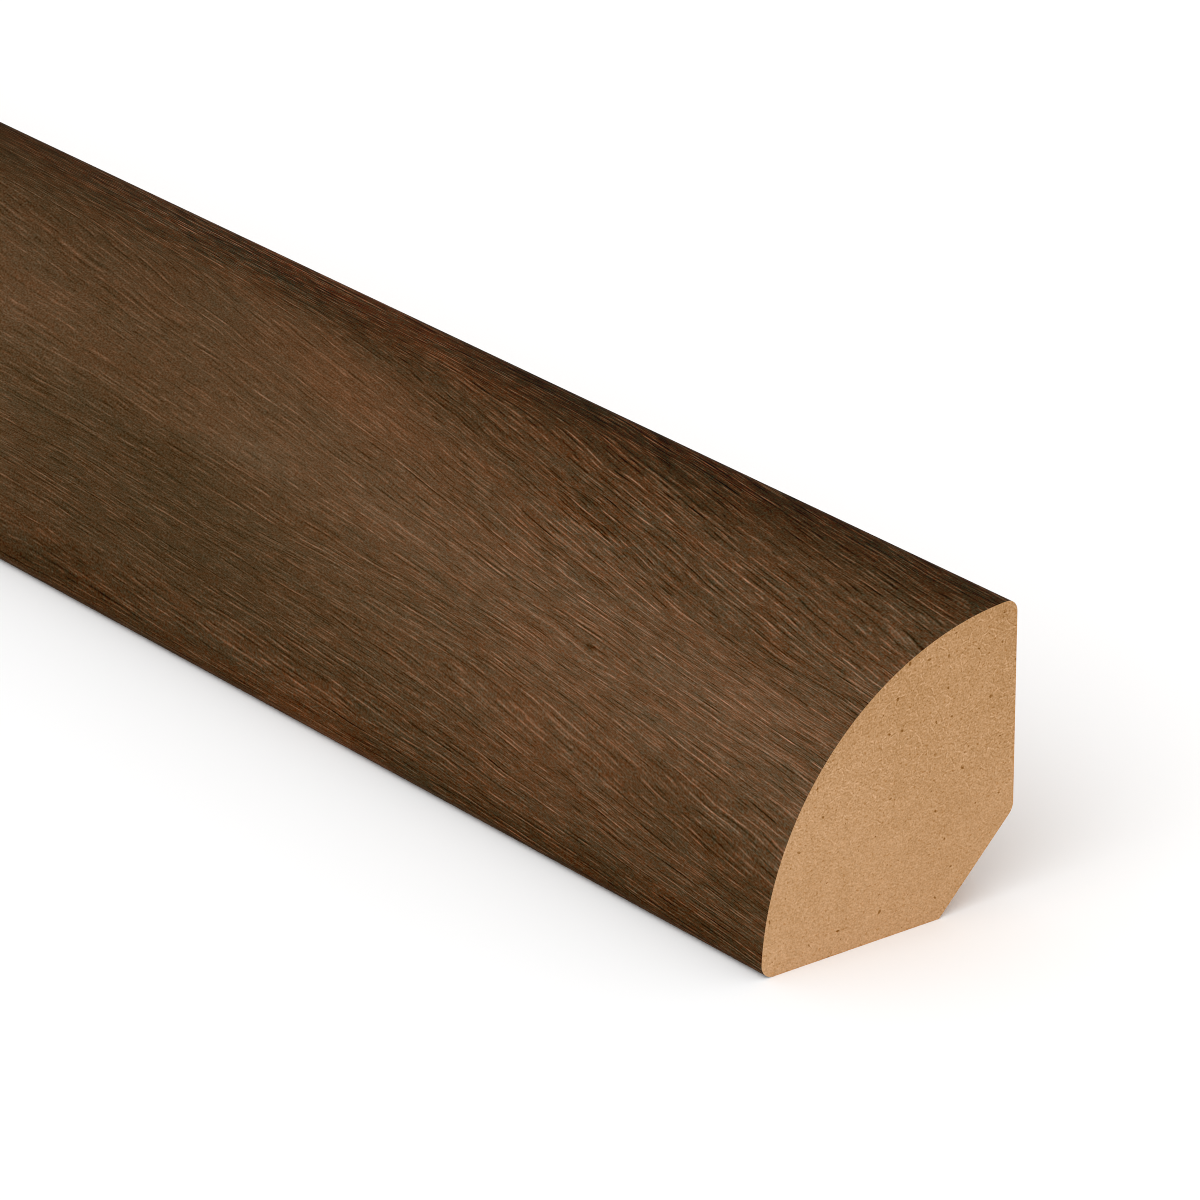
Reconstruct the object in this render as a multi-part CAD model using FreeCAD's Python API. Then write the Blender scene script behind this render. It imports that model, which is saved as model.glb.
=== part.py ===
import FreeCAD, Part

import math
import os

# Driving dimensions in millimetres
length = 2387.6  # 94 inches, a length that wrapped trim is sold in
show_radius = 19.05  # 3/4 inch, from the hidden back corner to the finished round face
wrap_thickness = 0.2  # printed foil on the round face
core_toe_round = 0.7  # under the foil, where the round face runs down to the floor face
core_arris_round = 0.6  # under the foil, where the round face runs up to the wall face
back_chamfer = 5.6  # both legs of the relief on the hidden back corner
wall_corner_round = 1.0  # where the relief meets the wall face
floor_corner_round = 0.2  # where the relief meets the floor face

# The foil goes round each rounding of the core, so its own roundings are larger by its thickness
toe_round = core_toe_round + wrap_thickness
arris_round = core_arris_round + wrap_thickness


def reach(rounding):
    """How far a rounding's centre lies from the back corner, along the flat face it runs into."""
    return math.sqrt((show_radius - rounding) ** 2 - rounding**2)


# The section lies in the YZ plane: floor face on Z = 0, wall face towards +Y, round face towards -Y.
# The quarter circle is centred on the back corner, and the origin is below the middle of the width.
overall_width = reach(toe_round) + toe_round
wall_y = overall_width / 2
far_end_x = -length / 2


def at(y, z):
    """A point of the section, on the plane of the far end."""
    return FreeCAD.Vector(far_end_x, y, z)


def on_circle(centre, radius, turn):
    """The point at a turn in degrees about a centre, counted from +Y towards +Z."""
    angle = math.radians(turn)
    return centre + FreeCAD.Vector(0, radius * math.cos(angle), radius * math.sin(angle))


def arc(centre, radius, first_turn, last_turn):
    """An arc edge about a centre, from one turn to another."""
    turns = (first_turn, (first_turn + last_turn) / 2, last_turn)
    return Part.Arc(*(on_circle(centre, radius, turn) for turn in turns)).toShape()


def line(start, end):
    """A straight edge."""
    return Part.LineSegment(start, end).toShape()


# Directions that the faces look in, and the turns at which the round face runs into its roundings
floor_turn = 270
wall_turn = 0
relief_turn = 45  # between the relief and either flat face
toe_turn = 180 - math.degrees(math.asin(toe_round / (show_radius - toe_round)))
arris_turn = 90 + math.degrees(math.asin(arris_round / (show_radius - arris_round)))

back_corner = at(wall_y, 0)
toe_centre = at(wall_y - reach(toe_round), toe_round)
arris_centre = at(wall_y - arris_round, reach(arris_round))

# The foil's two trimmed edges, each from the flat face that it is flush with to the core behind it
toe_flush = on_circle(toe_centre, toe_round, floor_turn)
toe_behind = on_circle(toe_centre, core_toe_round, floor_turn)
arris_flush = on_circle(arris_centre, arris_round, wall_turn)
arris_behind = on_circle(arris_centre, core_arris_round, wall_turn)


def round_face(inset):
    """The edges of the round face and its roundings, floor to wall, set in from the finished face."""
    return [
        arc(toe_centre, toe_round - inset, floor_turn, toe_turn),
        arc(back_corner, show_radius - inset, toe_turn, arris_turn),
        arc(arris_centre, arris_round - inset, arris_turn, wall_turn),
    ]


def back_faces():
    """The edges of the core's bare side: the wall face, the relief and the floor face."""
    tangent_share = math.tan(math.radians(relief_turn / 2))
    wall_centre = at(wall_y - wall_corner_round, back_chamfer + wall_corner_round * tangent_share)
    floor_centre = at(
        wall_y - back_chamfer - floor_corner_round * tangent_share, floor_corner_round
    )
    wall_foot = on_circle(wall_centre, wall_corner_round, wall_turn)
    relief_top = on_circle(wall_centre, wall_corner_round, wall_turn - relief_turn)
    relief_foot = on_circle(floor_centre, floor_corner_round, floor_turn + relief_turn)
    floor_edge = on_circle(floor_centre, floor_corner_round, floor_turn)
    return [
        line(arris_behind, arris_flush),
        line(arris_flush, wall_foot),
        arc(wall_centre, wall_corner_round, wall_turn, wall_turn - relief_turn),
        line(relief_top, relief_foot),
        arc(floor_centre, floor_corner_round, floor_turn + relief_turn, floor_turn),
        line(floor_edge, toe_flush),
        line(toe_flush, toe_behind),
    ]


def stock(edges):
    """The solid of a closed section run along the whole length, with square cut ends."""
    return Part.Face(Part.Wire(edges)).extrude(FreeCAD.Vector(length, 0, 0))


def mdf_core():
    """The fibreboard body, set in behind the foil on its round face."""
    return stock(round_face(wrap_thickness) + back_faces())


def decor_wrap():
    """The foil over the round face, trimmed flush with the floor face and the wall face."""
    toe_edge = line(toe_flush, toe_behind)
    arris_edge = line(arris_behind, arris_flush)
    return stock([toe_edge, *round_face(wrap_thickness), arris_edge, *reversed(round_face(0))])


os.makedirs("parts", exist_ok=True)
for piece in (mdf_core, decor_wrap):
    shape = piece()
    shape.exportStep(f"parts/{piece.__name__}.step")
    print(piece.__name__, shape.isValid(), round(shape.Volume, 1), shape.BoundBox)
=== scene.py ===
"""The looks of a length of quarter round moulding.

The stock is a fibreboard core, sawn square at both ends, with a printed wood grain foil glued round its
show face. Each piece is one section run along the length, so one kind of Geometry Nodes tree sweeps both.
"""

import logging
import math
from dataclasses import dataclass, field
from enum import Enum

import bpy
import numpy as np
from mathutils import Matrix, Vector


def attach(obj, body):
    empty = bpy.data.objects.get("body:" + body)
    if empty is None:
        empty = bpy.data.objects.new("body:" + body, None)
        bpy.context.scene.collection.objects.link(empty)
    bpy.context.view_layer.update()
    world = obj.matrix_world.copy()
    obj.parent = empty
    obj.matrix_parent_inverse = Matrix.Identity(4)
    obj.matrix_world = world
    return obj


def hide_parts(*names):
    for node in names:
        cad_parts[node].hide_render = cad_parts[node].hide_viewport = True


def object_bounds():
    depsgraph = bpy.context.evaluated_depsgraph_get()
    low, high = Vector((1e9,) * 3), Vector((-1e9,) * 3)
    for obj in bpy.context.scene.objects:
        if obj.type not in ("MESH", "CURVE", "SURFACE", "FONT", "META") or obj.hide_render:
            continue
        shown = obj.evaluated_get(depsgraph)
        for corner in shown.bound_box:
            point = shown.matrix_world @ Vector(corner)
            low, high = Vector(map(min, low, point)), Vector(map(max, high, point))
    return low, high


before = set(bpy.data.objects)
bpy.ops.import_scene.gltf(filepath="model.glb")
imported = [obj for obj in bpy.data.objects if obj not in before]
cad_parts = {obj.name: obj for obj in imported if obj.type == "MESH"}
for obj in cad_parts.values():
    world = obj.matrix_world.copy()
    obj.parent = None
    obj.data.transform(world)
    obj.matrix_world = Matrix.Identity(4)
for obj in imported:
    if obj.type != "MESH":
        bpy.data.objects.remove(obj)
cad_low, cad_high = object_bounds()

MM = 0.001
FULL_TURN = 360.0

# A screen's white
WHITE = 255.0

# Where the near stretch, which has patches of its own, starts to fade and has faded, in millimetres along
NEAR_STRETCH_FADES = (70.0, 120.0)

# Directions that the flat faces look in, in degrees from +Y towards +Z
WALL_TURN = 0.0
FLOOR_TURN = -90.0

BODY = "root"
FACE_MAP = "Faces"
BAKE_MAP = "OFBake"
log = logging.getLogger("quarter_round")


class CadNode(Enum):
    """The solids that the pieces stand for."""

    CORE = "mdf_core"
    WRAP = "decor_wrap"


class Slot(Enum):
    """The record's finishes."""

    FIBREBOARD = "fibreboard"
    FOIL = "wood_grain_foil"


class Board:
    """Adds nodes to one tree and wires them, so that a recipe reads as plain steps."""

    def __init__(self, tree: bpy.types.NodeTree) -> None:
        """Keeps the tree that the nodes go into.

        Args:
            tree: A shader or Geometry Nodes tree.
        """
        self.tree = tree

    def add(self, kind: str, inputs: dict | None = None, **settings: object) -> bpy.types.Node:
        """Adds one node.

        Args:
            kind: The node's type name.
            inputs: Values, fields or sockets, by the input's name or place.
            **settings: Properties of the node, set before its inputs.

        Returns:
            The node.
        """
        node = self.tree.nodes.new(kind)
        for name, value in settings.items():
            setattr(node, name, value)
        for key, value in (inputs or {}).items():
            self.feed(node.inputs[key], value)
        return node

    def feed(self, socket: bpy.types.NodeSocket, value: object) -> None:
        """Wires a field or socket to an input, or sets a plain value on it.

        Args:
            socket: The input.
            value: What it takes.
        """
        if isinstance(value, Field):
            self.tree.links.new(value.socket, socket)
        elif isinstance(value, bpy.types.NodeSocket):
            self.tree.links.new(value, socket)
        else:
            socket.default_value = value

    def field(
        self, kind: str, inputs: dict | None = None, output: str | int = 0, **settings: object
    ) -> "Field":
        """Adds one node and takes one of its outputs.

        Args:
            kind: The node's type name.
            inputs: Values, fields or sockets, by the input's name or place.
            output: The output's name or place.
            **settings: Properties of the node.

        Returns:
            That output.
        """
        return Field(self, self.add(kind, inputs, **settings).outputs[output])

    def math(self, operation: str, *values: object) -> "Field":
        """Adds a Math node.

        Args:
            operation: The node's operation.
            *values: Its inputs in order.

        Returns:
            Its result.
        """
        return self.field("ShaderNodeMath", dict(enumerate(values)), operation=operation)

    def vector(self, x: object, y: object, z: object = 0.0) -> "Field":
        """Joins three numbers into a vector."""
        return self.field("ShaderNodeCombineXYZ", {"X": x, "Y": y, "Z": z})

    def split(self, vector: object) -> tuple["Field", "Field", "Field"]:
        """Takes a vector apart."""
        node = self.add("ShaderNodeSeparateXYZ", {0: vector})
        return tuple(Field(self, output) for output in node.outputs)

    def noise(self, place: "Field", detail: float = 0.0) -> "Field":
        """Adds smooth noise whose lumps are about one unit wide.

        Args:
            place: Where to read it, in units of one lump.
            detail: Octaves of finer noise.

        Returns:
            A number from about -1 to 1, zero on average.
        """
        inputs = {"Vector": place, "Scale": 1.0, "Detail": detail}
        return self.field("ShaderNodeTexNoise", inputs, noise_dimensions="3D", normalize=False)

    def chances(self, place: "Field") -> tuple["Field", "Field", "Field"]:
        """Draws three numbers from 0 to 1 that have nothing to do with those of any other place."""
        drawn = self.field("ShaderNodeTexWhiteNoise", {"Vector": place}, "Color", noise_dimensions="3D")
        return self.split(drawn)

    def scatter(
        self, x: "Field", y: "Field", gap: float, seed: float
    ) -> tuple["Field", "Field", "Field", "Field"]:
        """Scatters places over a face, each with a direction of its own.

        Args:
            x: First place on the face, in millimetres.
            y: Second place on the face, in millimetres.
            gap: Distance between the places, in millimetres.
            seed: Picks them.

        Returns:
            How far the nearest of them is, along its direction and across it, and two numbers from 0 to 1
            of its own.
        """
        inputs = {"Vector": self.vector(x / gap + seed, y / gap), "Scale": 1.0}
        cells = self.add("ShaderNodeTexVoronoi", inputs, voronoi_dimensions="2D")
        turn, first, second = self.split(cells.outputs["Color"])
        middle_x, middle_y, _ = self.split(cells.outputs["Position"])
        over, above = x - (middle_x - seed) * gap, y - middle_y * gap
        cosine, sine = (turn * math.tau).cosine(), (turn * math.tau).sine()
        return over * cosine + above * sine, above * cosine - over * sine, first, second


@dataclass(frozen=True)
class Field:
    """A number that varies over a surface, with the arithmetic that adds nodes for it.

    Attributes:
        board: Where the nodes go.
        socket: The output that gives the number.
    """

    board: Board
    socket: bpy.types.NodeSocket

    def __add__(self, other: object) -> "Field":
        """Sum."""
        return self.board.math("ADD", self, other)

    def __radd__(self, other: object) -> "Field":
        """Sum."""
        return self.board.math("ADD", other, self)

    def __sub__(self, other: object) -> "Field":
        """Difference."""
        return self.board.math("SUBTRACT", self, other)

    def __rsub__(self, other: object) -> "Field":
        """Difference."""
        return self.board.math("SUBTRACT", other, self)

    def __mul__(self, other: object) -> "Field":
        """Product."""
        return self.board.math("MULTIPLY", self, other)

    def __truediv__(self, other: object) -> "Field":
        """Quotient."""
        return self.board.math("DIVIDE", self, other)

    def sine(self) -> "Field":
        """Sine of an angle in radians."""
        return self.board.math("SINE", self)

    def cosine(self) -> "Field":
        """Cosine of an angle in radians."""
        return self.board.math("COSINE", self)

    def within(self, low: object, high: object) -> "Field":
        """Clamped between two limits."""
        return self.board.math("MINIMUM", self.board.math("MAXIMUM", self, low), high)

    def step(self, low: float, high: float) -> "Field":
        """Smooth step.

        Args:
            low: Where it leaves 0.
            high: Where it reaches 1. It may be the lower of the two, and then the step falls.

        Returns:
            A number from 0 to 1.
        """
        inputs = {"Value": self, "From Min": low, "From Max": high}
        return self.board.field("ShaderNodeMapRange", inputs, interpolation_type="SMOOTHSTEP")

    def hump(self, middle: float, reach: float) -> "Field":
        """Bell curve.

        Args:
            middle: Where it is 1.
            reach: Distance at which it has fallen to 1/e.

        Returns:
            A number from 0 to 1.
        """
        off = (self - middle) / reach
        return self.board.math("EXPONENT", off * off * -1.0)


def cleared_board(owner: bpy.types.Material | bpy.types.World) -> Board:
    """Turns on the nodes of a material or world and empties its tree.

    Args:
        owner: The material or world.

    Returns:
        The board for its tree.
    """
    owner.use_nodes = True
    owner.node_tree.nodes.clear()
    return Board(owner.node_tree)


@dataclass
class Outline:
    """A closed section as points in order, with what the sweep reads at each of them.

    Attributes:
        points: Places in the section, as (y, z) in metres. The last repeats the first.
        spines: Where each point goes as the cut end closes over the section.
        shown: The stretch of the outline that shows, as distances along it.
    """

    points: np.ndarray
    spines: np.ndarray
    shown: tuple[float, float]

    def travel(self) -> np.ndarray:
        """Distance of each point along the outline, in metres."""
        steps = np.linalg.norm(np.diff(self.points, axis=0), axis=1)
        return np.concatenate(([0.0], np.cumsum(steps)))

    def as_object(self) -> bpy.types.Object:
        """Makes a mesh of loose points that a node tree can sample.

        Returns:
            The object, with its point attributes spine and travel.
        """
        mesh = bpy.data.meshes.new("section")
        flat = np.zeros((len(self.points), 1))
        mesh.from_pydata(np.hstack((flat, self.points)).tolist(), [], [])
        spine = mesh.attributes.new("spine", "FLOAT_VECTOR", "POINT")
        spine.data.foreach_set("vector", np.hstack((flat, self.spines)).ravel())
        travel = mesh.attributes.new("travel", "FLOAT", "POINT")
        travel.data.foreach_set("value", self.travel())
        made = bpy.data.objects.new("section", mesh)
        bpy.context.scene.collection.objects.link(made)
        return made


@dataclass(frozen=True)
class Section:
    """The quarter round's section, in metres. The CAD solids have the same sizes.

    Attributes:
        wall_y: Where the wall face is.
        radius: From the back corner to the finished round face.
        foil: Thickness of the foil.
        toe: Rounding of the foil at the floor.
        arris: Rounding of the foil at the wall.
        chamfer: Legs of the relief on the back corner.
        relief_turn: Turn from either flat face to the relief, in degrees.
        wall_corner: Rounding where the relief meets the wall face.
        floor_corner: Rounding where the relief meets the floor face.
        spacing: Distance between points of the outline.
        turn: Largest turn between points of a rounding, in degrees.
    """

    wall_y: float
    radius: float = 19.05 * MM
    foil: float = 0.2 * MM
    toe: float = 0.9 * MM
    arris: float = 0.8 * MM
    chamfer: float = 5.6 * MM
    relief_turn: float = 45.0
    wall_corner: float = 1.0 * MM
    floor_corner: float = 0.2 * MM
    spacing: float = 0.22 * MM
    turn: float = 12.0

    def arc(self, centre: np.ndarray, radius: float, first: float, last: float) -> np.ndarray:
        """Points round an arc.

        Args:
            centre: Its centre, as (y, z).
            radius: Its radius.
            first: Turn of its first point in degrees, from +Y towards +Z.
            last: Turn of its last point.

        Returns:
            The points, both ends included.
        """
        swing = abs(last - first)
        count = max(math.ceil(swing / self.turn), round(math.radians(swing) * radius / self.spacing))
        turns = np.radians(np.linspace(first, last, count + 1))
        return centre + radius * np.column_stack((np.cos(turns), np.sin(turns)))

    def line(self, start: np.ndarray, end: np.ndarray) -> np.ndarray:
        """Points along a straight stretch, both ends included."""
        count = max(1, round(float(np.linalg.norm(end - start)) / self.spacing))
        return start + (end - start) * np.linspace(0, 1, count + 1)[:, None]

    def reach(self, rounding: float) -> float:
        """How far a rounding's centre lies from the back corner, along the flat face it runs into."""
        return math.sqrt((self.radius - rounding) ** 2 - rounding**2)

    def round_face(self, inset: float) -> np.ndarray:
        """Points up the round face, from the floor over both roundings to the wall.

        Args:
            inset: How far they lie behind the finished face.

        Returns:
            The points. Their number doesn't depend on the inset.
        """
        corner = np.array((self.wall_y, 0.0))
        toe = np.array((self.wall_y - self.reach(self.toe), self.toe))
        arris = np.array((self.wall_y - self.arris, self.reach(self.arris)))
        toe_turn = 180 - math.degrees(math.asin(self.toe / (self.radius - self.toe)))
        arris_turn = 90 + math.degrees(math.asin(self.arris / (self.radius - self.arris)))
        stretches = (
            (toe, self.arc(toe, self.toe, FLOOR_TURN + FULL_TURN, toe_turn)),
            (corner, self.arc(corner, self.radius, toe_turn, arris_turn)[1:]),
            (arris, self.arc(arris, self.arris, arris_turn, WALL_TURN)[1:]),
        )
        set_in = []
        for centre, points in stretches:
            outward = points - centre
            length = np.linalg.norm(outward, axis=1)[:, None]
            set_in.append(centre + outward * (length - inset) / length)
        return np.concatenate(set_in)

    def back_faces(self, start: np.ndarray, end: np.ndarray) -> np.ndarray:
        """Points of the bare side, down the wall face and the relief and along the floor face.

        Args:
            start: The foil's edge on the wall face.
            end: The foil's edge on the floor face.

        Returns:
            The points, both ends included.
        """
        share = math.tan(math.radians(self.relief_turn / 2))
        wall = np.array((self.wall_y - self.wall_corner, self.chamfer + self.wall_corner * share))
        floor = np.array((self.wall_y - self.chamfer - self.floor_corner * share, self.floor_corner))
        relief_turn = WALL_TURN - self.relief_turn
        wall_arc = self.arc(wall, self.wall_corner, WALL_TURN, relief_turn)
        floor_arc = self.arc(floor, self.floor_corner, relief_turn, FLOOR_TURN)
        stretches = (
            self.line(start, wall_arc[0]),
            wall_arc[1:],
            self.line(wall_arc[-1], floor_arc[0])[1:],
            floor_arc[1:],
            self.line(floor_arc[-1], end)[1:],
        )
        return np.concatenate(stretches)

    def show_width(self) -> float:
        """Distance up the finished face from the floor to the wall."""
        return float(np.linalg.norm(np.diff(self.round_face(0), axis=0), axis=1).sum())

    def wrap(self) -> Outline:
        """The foil's outline, up its face and down its back, closing on the line halfway through it.

        Returns:
            The outline. Its face is the stretch that shows.
        """
        face, back, middle = (self.round_face(inset) for inset in (0.0, self.foil, self.foil / 2))
        points = np.concatenate((face, back[::-1], face[:1]))
        spines = np.concatenate((middle, middle[::-1], middle[:1]))
        return Outline(points, spines, (0.0, self.show_width()))

    def core(self) -> Outline:
        """The core's outline, up the round face and down the bare side, closing on its middle.

        Returns:
            The outline. Its bare side is the stretch that shows.
        """
        face, behind = self.round_face(0), self.round_face(self.foil)
        bare = self.back_faces(face[-1], face[0])
        points = np.concatenate((behind, bare, behind[:1]))
        spines = np.tile(points[:-1].mean(axis=0), (len(points), 1))
        outline = Outline(points, spines, (0.0, 0.0))
        travel = outline.travel()
        outline.shown = (float(travel[len(behind) - 1]), float(travel[-1]))
        return outline


@dataclass
class SawnStock:
    """A section run along the length and closed at both sawn ends.

    Attributes:
        name: The piece's name.
        outline: Its section.
        length: Its length in metres.
        rings_along: Divisions of the length.
        cap_rings: Divisions of each cut end, from its middle to its rim.
        saw_relief: Depth of the roughness that the saw leaves, in metres.
        relief_grain: Size of that roughness, in metres.
        seed: Picks the roughness.
        bake_rows: Rows that the length is folded into on the map for baking.
        bake_end: Side of the square that a cut end takes on that map.
        far_seed: How far the far end's roughness is from the near end's, in lumps.
        relief_detail: Octaves of finer roughness.
        weld: Points closer than this become one, in metres.
        sharp_turn: Faces that meet at a larger turn than this have a sharp edge, in degrees.
        hidden_band: Height on the map for baking of the faces that don't show.
        bake_gap: Gap between the stretches of that map.
        row_fill: Share of a row's height that the row takes up.
        end_margin: Side of a cut end's square, for one of the section's larger side.
    """

    name: str
    outline: Outline
    length: float
    rings_along: int
    cap_rings: int
    saw_relief: float
    relief_grain: float
    seed: float
    bake_rows: int
    bake_end: float
    far_seed: float = 7.0
    relief_detail: float = 2.0
    weld: float = 1e-7
    sharp_turn: float = 30.0
    hidden_band: float = 0.02
    bake_gap: float = 0.004
    row_fill: float = 0.97
    end_margin: float = 1.02

    def build(self, faces: bpy.types.Material, ends: bpy.types.Material) -> bpy.types.Object:
        """Sweeps the section and turns the result into a plain mesh.

        Args:
            faces: What the long faces are dressed in.
            ends: What shows on the cut ends.

        Returns:
            The piece, at the origin.
        """
        section = self.outline.as_object()
        modifier = section.modifiers.new("sweep", "NODES")
        tree = self.tree()
        modifier.node_group = tree
        values = {
            "Columns": len(self.outline.points),
            "Rings Along": self.rings_along,
            "Cap Rings": self.cap_rings,
            "Length": self.length,
            "Saw Relief": self.saw_relief,
            "Relief Grain": self.relief_grain,
            "Seed": self.seed,
            "Face Material": faces,
            "End Material": ends,
        }
        for item in tree.interface.items_tree:
            if item.in_out == "INPUT" and item.name in values:
                modifier[item.identifier] = values[item.name]
        depsgraph = bpy.context.evaluated_depsgraph_get()
        mesh = bpy.data.meshes.new_from_object(
            section.evaluated_get(depsgraph), preserve_all_data_layers=True, depsgraph=depsgraph
        )
        section.modifiers.remove(modifier)
        bpy.data.objects.remove(section)
        mesh.name = self.name
        mesh.shade_smooth()
        mesh.set_sharp_from_angle(angle=math.radians(self.sharp_turn))
        self.lay_out_for_baking(mesh)
        piece = bpy.data.objects.new(self.name, mesh)
        bpy.context.scene.collection.objects.link(piece)
        return piece

    def tree(self) -> bpy.types.NodeTree:
        """Builds the sweep: a grid whose rows are copies of the section, drawn in at both ends to close it.

        Returns:
            The Geometry Nodes tree.
        """
        tree = bpy.data.node_groups.new(f"sweep_{self.name}", "GeometryNodeTree")
        sides = tree.interface
        sides.new_socket("Geometry", in_out="INPUT", socket_type="NodeSocketGeometry")
        counts = ("Columns", "Rings Along", "Cap Rings")
        sizes = ("Length", "Saw Relief", "Relief Grain", "Seed")
        for name in counts:
            sides.new_socket(name, in_out="INPUT", socket_type="NodeSocketInt")
        for name in sizes:
            sides.new_socket(name, in_out="INPUT", socket_type="NodeSocketFloat")
        for name in ("Face Material", "End Material"):
            sides.new_socket(name, in_out="INPUT", socket_type="NodeSocketMaterial")
        sides.new_socket("Geometry", in_out="OUTPUT", socket_type="NodeSocketGeometry")

        board = Board(tree)
        given = board.add("NodeGroupInput").outputs
        section = given["Geometry"]
        columns, along, caps = (Field(board, given[name]) for name in counts)
        length, relief, grain, seed = (Field(board, given[name]) for name in sizes)
        rings = caps * 2.0 + along + 1.0
        grid = board.field("GeometryNodeMeshGrid", {"Vertices X": rings, "Vertices Y": columns}, "Mesh")

        index = board.field("GeometryNodeInputIndex")
        ring = board.math("FLOOR", (index + 0.5) / columns)
        column = index - ring * columns
        place = self.sampled(board, section, "position", "FLOAT_VECTOR", column)
        spine = self.sampled(board, section, "spine", "FLOAT_VECTOR", column)
        travel = self.sampled(board, section, "travel", "FLOAT", column)

        opened = (board.math("MINIMUM", ring, rings - 1.0 - ring) / caps).within(0.0, 1.0)
        _, outer_y, outer_z = board.split(place)
        _, inner_y, inner_z = board.split(spine)
        y = inner_y + (outer_y - inner_y) * opened
        z = inner_z + (outer_z - inner_z) * opened
        far_share = ((ring - caps) / along).within(0.0, 1.0)
        lump = board.vector(y / grain, z / grain, seed + far_share * self.far_seed)
        rough = board.noise(lump, self.relief_detail)
        on_end = board.math("SIGN", 1.0 - opened)
        depth = relief * on_end * (rough + 0.5).within(0.0, 1.0)
        x = (length * 0.5 - depth) * (1.0 - far_share * 2.0)
        moved = {"Geometry": grid, "Position": board.vector(x, y, z)}
        swept = board.field("GeometryNodeSetPosition", moved)

        face_ring = self.per(board, "FACE", self.per(board, "POINT", ring))
        near_cut = board.math("LESS_THAN", face_ring, caps)
        far_cut = board.math("GREATER_THAN", face_ring, rings - 1.0 - caps)
        cut = near_cut + far_cut
        inset_y, inset_z = outer_y - y, outer_z - z
        inset = board.math("SQRT", inset_y * inset_y + inset_z * inset_z)
        from_end = length * far_share
        uncut = 1.0 - cut
        along_face = self.per(board, "POINT", from_end) * uncut + self.per(board, "POINT", y) * cut
        up_face = self.per(board, "POINT", travel) * uncut + self.per(board, "POINT", z) * cut
        marked = self.stored(board, swept, FACE_MAP, "FLOAT2", "CORNER", board.vector(along_face, up_face))
        marked = self.stored(board, marked, "cut", "FLOAT", "FACE", cut)
        marked = self.stored(board, marked, "inset", "FLOAT", "POINT", inset)

        welded = board.field("GeometryNodeMergeByDistance", {"Geometry": marked, "Distance": self.weld})
        real = board.field("GeometryNodeRealizeInstances", {"Geometry": welded})
        faces = {"Geometry": real, "Material": given["Face Material"]}
        dressed = board.field("GeometryNodeSetMaterial", faces)
        on_cut = self.named(board, "cut", "FLOAT")
        ends = {"Geometry": dressed, "Selection": on_cut, "Material": given["End Material"]}
        dressed = board.field("GeometryNodeSetMaterial", ends)
        board.add("NodeGroupOutput", {"Geometry": dressed})
        return tree

    @staticmethod
    def named(board: Board, name: str, kind: str) -> Field:
        """Reads an attribute of the mesh by its name."""
        return board.field("GeometryNodeInputNamedAttribute", {"Name": name}, "Attribute", data_type=kind)

    @classmethod
    def sampled(cls, board: Board, section: object, name: str, kind: str, column: Field) -> Field:
        """Reads the section at a column of the grid.

        Args:
            board: Where the nodes go.
            section: The section's points.
            name: What to read: position, or one of the section's attributes.
            kind: Its data type.
            column: The point's number.

        Returns:
            The value there.
        """
        if name == "position":
            value = board.field("GeometryNodeInputPosition")
        else:
            value = cls.named(board, name, kind)
        inputs = {"Geometry": section, "Value": value, "Index": column}
        return board.field("GeometryNodeSampleIndex", inputs, "Value", data_type=kind, domain="POINT")

    @staticmethod
    def per(board: Board, domain: str, value: Field) -> Field:
        """Works a value out on points or faces, whatever asks for it."""
        return board.field("GeometryNodeFieldOnDomain", {"Value": value}, domain=domain, data_type="FLOAT")

    @staticmethod
    def stored(board: Board, mesh: Field, name: str, kind: str, domain: str, value: Field) -> Field:
        """Keeps a value on the mesh under a name.

        Args:
            board: Where the nodes go.
            mesh: The mesh.
            name: The attribute's name.
            kind: Its data type.
            domain: Where it is kept.
            value: What is kept.

        Returns:
            The mesh with it.
        """
        inputs = {"Geometry": mesh, "Name": name, "Value": value}
        return board.field("GeometryNodeStoreNamedAttribute", inputs, data_type=kind, domain=domain)

    def lay_out_for_baking(self, mesh: bpy.types.Mesh) -> None:
        """Adds the map that the export bakes into, on which the long faces are folded into rows.

        Args:
            mesh: The piece's mesh, with its map of faces.
        """
        corners = len(mesh.loops)
        faces = np.empty(corners * 2, np.float32)
        mesh.attributes[FACE_MAP].data.foreach_get("vector", faces)
        faces = faces.reshape(-1, 2).astype(float)
        cut = np.empty(len(mesh.polygons), np.float32)
        mesh.attributes["cut"].data.foreach_get("value", cut)
        starts = np.array([polygon.loop_start for polygon in mesh.polygons])
        sides = np.array([polygon.loop_total for polygon in mesh.polygons])
        owner = np.repeat(np.arange(len(starts)), sides)
        middle = np.add.reduceat(faces, starts, axis=0) / sides[:, None]
        near = np.array([polygon.center.x > 0 for polygon in mesh.polygons])

        low, high = self.outline.shown
        hidden_band, gap = self.hidden_band, self.bake_gap
        rows_top = 1 - self.bake_end - gap
        row_height = (rows_top - hidden_band - gap) / self.bake_rows
        row_length = self.length / self.bake_rows
        row = np.clip(middle[:, 0] // row_length, 0, self.bake_rows - 1)[owner]
        shown = ((middle[:, 1] > low) & (middle[:, 1] < high))[owner]
        is_cut = (cut > 0.5)[owner]

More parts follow.
